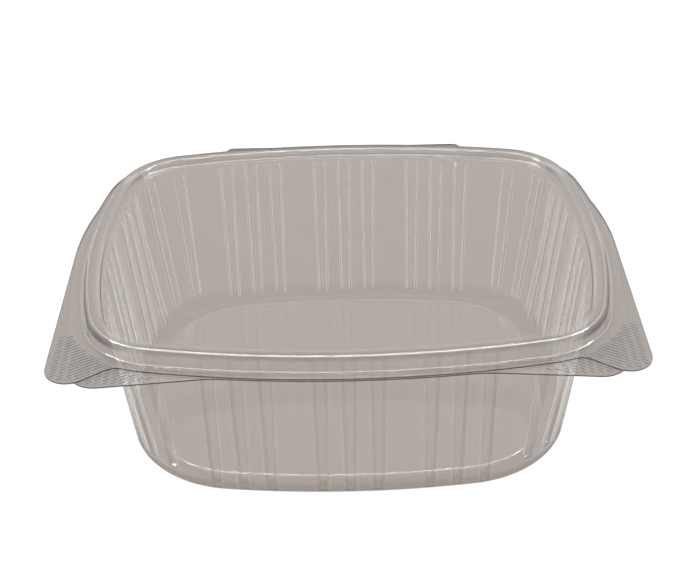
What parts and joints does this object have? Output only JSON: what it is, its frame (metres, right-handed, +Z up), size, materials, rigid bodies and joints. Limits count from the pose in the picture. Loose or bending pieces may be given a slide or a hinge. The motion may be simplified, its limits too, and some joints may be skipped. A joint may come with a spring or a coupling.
{
  "type": "hinged food container",
  "caption": "Clear rectangular thermoformed pack with bowed sides, a ribbed tub, a flat hinged lid with a raised rim ring, and opening tabs at the front corners.",
  "frame": {"origin": "on the table under the middle of the closed pack's outline", "axes": "+X along the pack to its right end, -Y towards the front edge with the opening tabs, +Y towards the hinge, +Z up"},
  "size_m": [0.224, 0.1794, 0.0764],
  "materials": {
    "pet": "clear thermoformed PET sheet, smooth and glossy, faintly grey"
  },
  "bodies": {
    "base": {"base_tray": "pet"},
    "lid": {"lid": "pet"}
  },
  "joints": [
    {"name": "lid_hinge", "type": "hinge", "parent": "base", "child": "lid", "pos_m": [0, 0.0898, 0.07068], "axis": [-1, 0, 0], "range_deg": [0, 180]}
  ]
}
